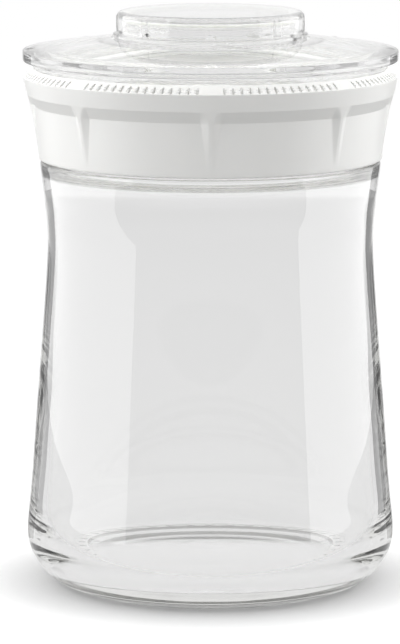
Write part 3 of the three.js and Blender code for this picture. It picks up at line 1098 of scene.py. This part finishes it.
@dataclass
class ScrewCap(TurnedPiece):
    """Clear cap: a shallow screw cup with upright grip ribs, a rounded top edge and a small lip."""

    step: float = 0.5
    on_wall: float = 0.02
    radius: float = 27.3
    bore: float = 26.2
    bore_lead_in: float = 1.0
    bore_row: float = 0.2
    bore_rows: int = 21
    ceiling_round: float = 0.7
    foot_round: float = 0.3
    lip_round: float = 0.45
    lip_reach: float = 1.4
    plate: float = 1.6
    top_round: float = 1.5
    lip_height: float = 1.3
    lip_blend: float = 1.3
    rib_half: float = 0.95
    rib_flank: float = 0.8
    rib_depth: float = 0.3
    rib_start: float = 0.8
    rib_end: float = 1.2
    rib_below_top: float = 0.5
    rib_margin: float = 0.4
    rib_columns: int = 17
    plain_columns: int = 22

    def outline(self) -> Outline:
        """Outline from the middle of the ceiling, round the wall, to the middle of the top.

        Returns:
            The outline.
        """
        low, high = self.corners()
        ceiling = high.z - self.plate
        bore_top = ceiling - self.bore_lead_in
        return (
            Outline(self.step)
            .to(0, ceiling)
            .to(self.bore, ceiling, self.ceiling_round)
            .along([(self.bore, bore_top - self.bore_row * i) for i in range(self.bore_rows)])
            .to(self.bore, low.z, self.foot_round)
            .to(high.x, low.z, self.lip_round)
            .to(high.x, low.z + self.lip_height, self.lip_round)
            .to(self.radius, low.z + self.lip_height, self.lip_blend)
            .to(self.radius, high.z, self.top_round)
            .to(0, high.z)
        )

    def angles(self) -> np.ndarray:
        """Columns close together across each rib."""
        reach = (self.rib_half + self.rib_flank + self.rib_margin) / self.radius
        return sector_columns(reach, self.rib_columns, self.plain_columns)

    def relief(self, radius: np.ndarray, height: np.ndarray, angle: np.ndarray) -> Offsets:
        """Grip ribs outside and screw ridges inside.

        Args:
            radius: Radii of the points.
            height: Heights of the points.
            angle: Angles of the points from the front.

        Returns:
            How far each point moves outwards and upwards.
        """
        low, high = self.corners()
        wall = (radius > self.radius - self.top_round) & (radius < self.radius + self.lip_reach)
        up = eased((height - low.z - self.lip_height) / self.rib_start)
        up = up * eased((high.z - self.rib_below_top - height) / self.rib_end)
        sideways = np.abs(radius * from_nearest(angle, SECTORS))
        across = eased((self.rib_half + self.rib_flank - sideways) / self.rib_flank)
        outwards = np.where(wall, self.rib_depth * up * across, 0.0)
        inside = np.abs(radius - self.bore) < self.on_wall
        return np.where(inside, -CAP_RIDGES.rise(height, angle), outwards), np.zeros_like(height)


@dataclass
class SealRing(TurnedPiece):
    """Soft ring with rounded edges, pressed flat between two pieces."""

    bore: float = 0.0
    rounding: float = 0.3
    step: float = 0.3

    def outline(self) -> Outline:
        """Closed outline of the ring's section.

        Returns:
            The outline.
        """
        low, high = self.corners()
        return (
            Outline(self.step)
            .to(self.bore, low.z, self.rounding)
            .to(high.x, low.z, self.rounding)
            .to(high.x, high.z, self.rounding)
            .to(self.bore, high.z, self.rounding)
        )


def glowing_sheet(
    name: str, vertices: list[tuple[float, ...]], faces: list[tuple[int, ...]], level: float,
    passes: int | None = None,
) -> bpy.types.Object:
    """Makes a sheet of the studio that glows evenly, isn't seen by the camera and lights no dull surface.

    Args:
        name: Name of the sheet and of its material.
        vertices: Places in metres.
        faces: Vertex numbers of each face.
        level: Strength of its glow, where 1 is white.
        passes: Most clear surfaces that light may have passed from the camera for the sheet to be seen.

    Returns:
        The new object.
    """
    material = bpy.data.materials.new(name)
    tree = bare_tree(material)
    glow = add_node(tree, "ShaderNodeEmission", {"Color": WHITE, "Strength": level})
    surface = glow.outputs["Emission"]
    if passes is not None:
        path = add_node(tree, "ShaderNodeLightPath")
        few = add_node(tree, "ShaderNodeMath", {
            0: path.outputs["Transmission Depth"], 1: passes + 0.5,
        }, operation="LESS_THAN")
        unseen = add_node(tree, "ShaderNodeBsdfTransparent")
        surface = add_node(tree, "ShaderNodeMixShader", {
            0: few.outputs["Value"], 1: unseen.outputs["BSDF"], 2: surface,
        }).outputs["Shader"]
    add_node(tree, "ShaderNodeOutputMaterial", {"Surface": surface})
    mesh = bpy.data.meshes.new(name)
    mesh.from_pydata(vertices, [], faces)
    mesh.materials.append(material)
    sheet = bpy.data.objects.new(name, mesh)
    bpy.context.scene.collection.objects.link(sheet)
    sheet.visible_camera = False
    sheet.visible_diffuse = False
    sheet.visible_shadow = False
    return sheet


@dataclass(frozen=True)
class Panel:
    """Flat softbox that stands on the floor at one side of the jar and faces it. Lengths are in metres."""

    name: str
    side: Side
    distance: float
    front: float
    back: float
    top: float
    level: float

    def lamp(self) -> None:
        """Adds the softbox as an area light that lights the pieces and isn't seen."""
        width = self.back - self.front
        light = bpy.data.lights.new(self.name, "AREA")
        light.shape = "RECTANGLE"
        light.size = width
        light.size_y = self.top
        light.energy = self.level * math.pi * width * self.top
        lamp = bpy.data.objects.new(self.name, light)
        lamp.location = (self.side.value * self.distance, (self.front + self.back) / 2, self.top / 2)
        lamp.rotation_euler = Vector((self.side.value, 0, 0)).to_track_quat("Z", "Y").to_euler()
        lamp.visible_camera = False
        lamp.visible_glossy = False
        lamp.visible_transmission = False
        bpy.context.scene.collection.objects.link(lamp)

    def screen(self) -> bpy.types.Object:
        """Adds the softbox as a glowing sheet that shows in gloss and lights nothing.

        Returns:
            The new object.
        """
        x = self.side.value * self.distance
        lower = [(x, self.front, 0.0), (x, self.back, 0.0)]
        upper = [(x, self.back, self.top), (x, self.front, self.top)]
        sheet = glowing_sheet(self.name, lower + upper, [(0, 1, 2, 3)], self.level)
        sheet.visible_transmission = False
        return sheet


@dataclass(frozen=True)
class Flag:
    """Grey card behind the jar, flat and then upright, that draws the edges of clear pieces.

    It is seen only in light that went through one wall, so it never shows straight through the jar.
    Stations are (distance, inner angle, outer angle) along it, in metres and in degrees from straight
    behind.
    """

    name: str
    side: Side
    level: float
    stations: tuple[tuple[float, float, float], ...] = ((0.06, 16.5, 38.0), (0.86, 16.5, 38.0))
    height: float = 0.08
    origin: tuple[float, float] = (0.047, -0.01)
    lift: float = 0.0005
    columns: int = 9
    passes: int = 2

    def build(self) -> bpy.types.Object:
        """Adds the card.

        Returns:
            The new object.
        """
        rows = [(*station, self.lift) for station in self.stations] + [(*self.stations[-1], self.height)]
        vertices, faces = [], []
        for distance, inner, outer, height in rows:
            for angle in np.radians(np.linspace(inner, outer, self.columns)):
                x = self.side.value * (self.origin[0] + distance * math.sin(angle))
                vertices.append((x, self.origin[1] + distance * math.cos(angle), height))
        for row in range(len(rows) - 1):
            for column in range(self.columns - 1):
                a = row * self.columns + column
                faces.append((a, a + 1, a + self.columns + 1, a + self.columns))
        return glowing_sheet(self.name, vertices, faces, self.level, self.passes)


@dataclass
class Studio:
    """White studio: a pale floor, a white surround, softboxes at both sides and a camera.

    Levels and glows are strengths where 1 is white. A reach is where a level begins and ends to change: on
    the floor in metres behind the jar, in the surround as a share of a direction to the back or up. The
    floor's shade is the dark rim on the floor close round the jar: partly the lamps' real shadow and partly
    shade painted into the floor's glow where the jar hems it in. Its reach is in metres too.
    """

    floor_size: float = 8.0
    floor_colour: str = "#A6A6A6"
    floor_seen: str = "#909090"
    floor_seen_glow: float = 0.83
    # Reach of the shade painted into the floor's glow round the jar, in metres.
    floor_painted_shade_reach: float = 0.021
    floor_through: str = "#707070"
    floor_through_glow: tuple[float, float] = (0.665, 0.82)
    floor_through_reach: tuple[float, float] = (1.05, 1.45)
    floor_gloss: tuple[float, float] = (0.4, 0.92)
    floor_gloss_reach: tuple[float, float] = (-0.06, 0.05)
    ambient: float = 0.6
    through: float = 0.92
    front: float = 0.12
    front_reach: tuple[float, float] = (-0.35, 0.0)
    overhead: float = 1.3
    overhead_reach: tuple[float, float] = (0.55, 0.85)
    ceiling: float = 0.4
    bounces: int = 30
    sky_gloss: float = 0.6
    sky_reach: tuple[float, float] = (0.2, 0.5)
    camera_place: tuple[float, float, float] = (-0.00307, -1.187, 0.2723)
    camera_pitch: float = 9.32
    camera_lens: float = 226.68
    camera_sensor: float = 36.0
    camera_clip: float = 0.05
    lamps: list[Panel] = field(default_factory=lambda: [
        Panel("lamp_left", Side.LEFT, distance=0.5, front=-0.6, back=0.5, top=1.1, level=0.9),
        Panel("lamp_right", Side.RIGHT, distance=0.5, front=-0.5, back=0.5, top=1.1, level=1.0),
        Panel("key_left", Side.LEFT, distance=0.9, front=-1.2, back=-0.4, top=1.2, level=1.0),
    ])
    screens: list[Panel] = field(default_factory=lambda: [
        Panel("softbox_left", Side.LEFT, distance=0.36, front=-0.29, back=0.39, top=0.9, level=2.1),
        Panel("softbox_right", Side.RIGHT, distance=0.36, front=-0.20, back=0.39, top=0.9, level=2.1),
    ])
    flags: list[Flag] = field(default_factory=lambda: [
        Flag("card_left", Side.LEFT, 0.42),
        Flag("card_right", Side.RIGHT, 0.3),
    ])

    def floor(self) -> bpy.types.Object:
        """Adds the floor: its glow is seen by the camera and in clear pieces, its dull part keeps the real
        shadow, and shade is painted into its glow round the jar.

        Returns:
            The new object.
        """
        material = bpy.data.materials.new("pale_floor")
        tree = bare_tree(material)
        path = add_node(tree, "ShaderNodeLightPath")
        plain = add_node(tree, "ShaderNodeBsdfDiffuse", {"Color": linear(self.floor_colour)})
        look = plain.outputs["BSDF"]
        # Painted shade: ambient occlusion darkens the camera's view of the floor's glow close round the
        # jar, a contact shadow painted on the floor.
        painted_contact_shade = add_node(tree, "ShaderNodeAmbientOcclusion", {"Distance": self.floor_painted_shade_reach})
        place = add_node(tree, "ShaderNodeSeparateXYZ", {
            "Vector": add_node(tree, "ShaderNodeTexCoord").outputs["Object"],
        })
        behind, far = (
            add_node(tree, "ShaderNodeMapRange", {
                "Value": place.outputs["Y"], "From Min": reach[0], "From Max": reach[1],
                "To Min": glow[0], "To Max": glow[1],
            }, interpolation_type="SMOOTHSTEP").outputs["Result"]
            for reach, glow in (
                (self.floor_gloss_reach, self.floor_gloss),
                (self.floor_through_reach, self.floor_through_glow),
            )
        )
        for ray, colour, glow, tone in (
            ("Is Glossy Ray", "#000000", behind, WHITE),
            ("Is Transmission Ray", self.floor_through, far, WHITE),
            ("Is Camera Ray", self.floor_seen, self.floor_seen_glow, painted_contact_shade.outputs["Color"]),
        ):
            shade = add_node(tree, "ShaderNodeBsdfDiffuse", {"Color": linear(colour)})
            light = add_node(tree, "ShaderNodeEmission", {"Color": tone, "Strength": glow})
            both = add_node(tree, "ShaderNodeAddShader", {
                0: shade.outputs["BSDF"], 1: light.outputs["Emission"],
            })
            look = add_node(tree, "ShaderNodeMixShader", {
                0: path.outputs[ray], 1: look, 2: both.outputs["Shader"],
            }).outputs["Shader"]
        add_node(tree, "ShaderNodeOutputMaterial", {"Surface": look})
        half = self.floor_size / 2
        mesh = bpy.data.meshes.new("floor")
        corners = [(-half, -half, 0), (half, -half, 0), (half, half, 0), (-half, half, 0)]
        mesh.from_pydata(corners, [], [(0, 1, 2, 3)])
        mesh.materials.append(material)
        floor = bpy.data.objects.new("floor", mesh)
        bpy.context.scene.collection.objects.link(floor)
        return floor

    def surround(self) -> None:
        """Makes the world: white for the camera, bright in clear pieces, and with a dark front in gloss."""
        world = bpy.data.worlds.new("white_surround")
        tree = bare_tree(world)
        path = add_node(tree, "ShaderNodeLightPath")
        direction = add_node(tree, "ShaderNodeSeparateXYZ", {
            "Vector": add_node(tree, "ShaderNodeTexCoord").outputs["Generated"],
        })
        mirrored, sky, bent, ceiling = (
            add_node(tree, "ShaderNodeMapRange", {
                "Value": direction.outputs[axis], "From Min": reach[0], "From Max": reach[1],
                "To Min": low, "To Max": high,
            }, interpolation_type="SMOOTHSTEP").outputs["Result"]
            for axis, reach, low, high in (
                ("Y", self.front_reach, self.front, self.through),
                ("Z", self.sky_reach, 0.0, self.sky_gloss),
                ("Z", self.overhead_reach, self.through, self.through + self.overhead),
                ("Z", self.overhead_reach, self.through, self.ceiling),
            )
        )
        gloss = add_node(tree, "ShaderNodeMath", {0: mirrored, 1: sky})
        clear = add_node(tree, "ShaderNodeMix", {
            0: path.outputs["Diffuse Depth"], 2: ceiling, 3: bent,
        }, data_type="FLOAT")
        level: bpy.types.NodeSocket | float = self.ambient
        for ray, seen in (
            ("Is Glossy Ray", gloss.outputs["Value"]),
            ("Is Transmission Ray", clear.outputs[0]),
            ("Is Camera Ray", 1.0),
        ):
            mixed = add_node(tree, "ShaderNodeMix", {
                0: path.outputs[ray], 2: level, 3: seen,
            }, data_type="FLOAT")
            level = mixed.outputs[0]
        background = add_node(tree, "ShaderNodeBackground", {"Color": WHITE, "Strength": level})
        add_node(tree, "ShaderNodeOutputWorld", {"Surface": background.outputs["Background"]})
        bpy.context.scene.world = world

    def camera(self) -> None:
        """Adds the camera at the photograph's height and distance."""
        data = bpy.data.cameras.new("camera")
        data.lens = self.camera_lens
        data.sensor_width = self.camera_sensor
        data.clip_start = self.camera_clip
        camera = bpy.data.objects.new("camera", data)
        camera.location = self.camera_place
        camera.rotation_euler = (math.radians(90 - self.camera_pitch), 0, 0)
        bpy.context.scene.collection.objects.link(camera)
        bpy.context.scene.camera = camera

    def build(self) -> None:
        """Sets up the whole studio."""
        sheets = [screen.screen() for screen in self.screens] + [flag.build() for flag in self.flags]
        self.floor()
        self.surround()
        for lamp in self.lamps:
            lamp.lamp()
        self.camera()
        scene = bpy.context.scene
        scene.view_settings.view_transform = "Standard"
        scene.cycles.max_bounces = self.bounces
        scene.cycles.transmission_bounces = self.bounces
        scene.cycles.glossy_bounces = self.bounces
        scene.cycles.blur_glossy = 0.0


def main() -> None:
    """Loads the frame, builds and dresses each piece, and sets up the studio."""
    logging.basicConfig(level=logging.INFO, format="%(name)s: %(message)s")
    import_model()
    glass, clear, white, soft = PressedGlass(), ClearPlastic(), WhitePolypropylene(), Silicone()
    pieces: list[TurnedPiece] = [
        GlassJar("jar_glass", "glass_jar", "jar", Slot.GLASS, glass),
        SealRing("jar_gasket_ring", "jar_gasket", "gasket", Slot.SOFT, soft, bore=43.0, rounding=0.35),
        StrainerRing("ring_moulding", "strainer_ring", "ring", Slot.WHITE, white),
        SealRing("lid_seal_ring", "lid_seal", "lid_seal", Slot.SOFT, soft, bore=48.1, rounding=0.6),
        ScrewLid("lid_moulding", "lid", "lid", Slot.CLEAR, clear),
        SealRing("cap_seal_ring", "cap_seal", "cap_seal", Slot.SOFT, soft, bore=23.0, rounding=0.25),
        ScrewCap("cap_moulding", "cap", "cap", Slot.CLEAR, clear),
    ]
    for piece in pieces:
        built = piece.build()
        piece.dress(built)
        LOG.info("%s: %d faces", built.name, len(built.data.polygons))
    Studio().build()


if __name__ == "__main__":
    main()
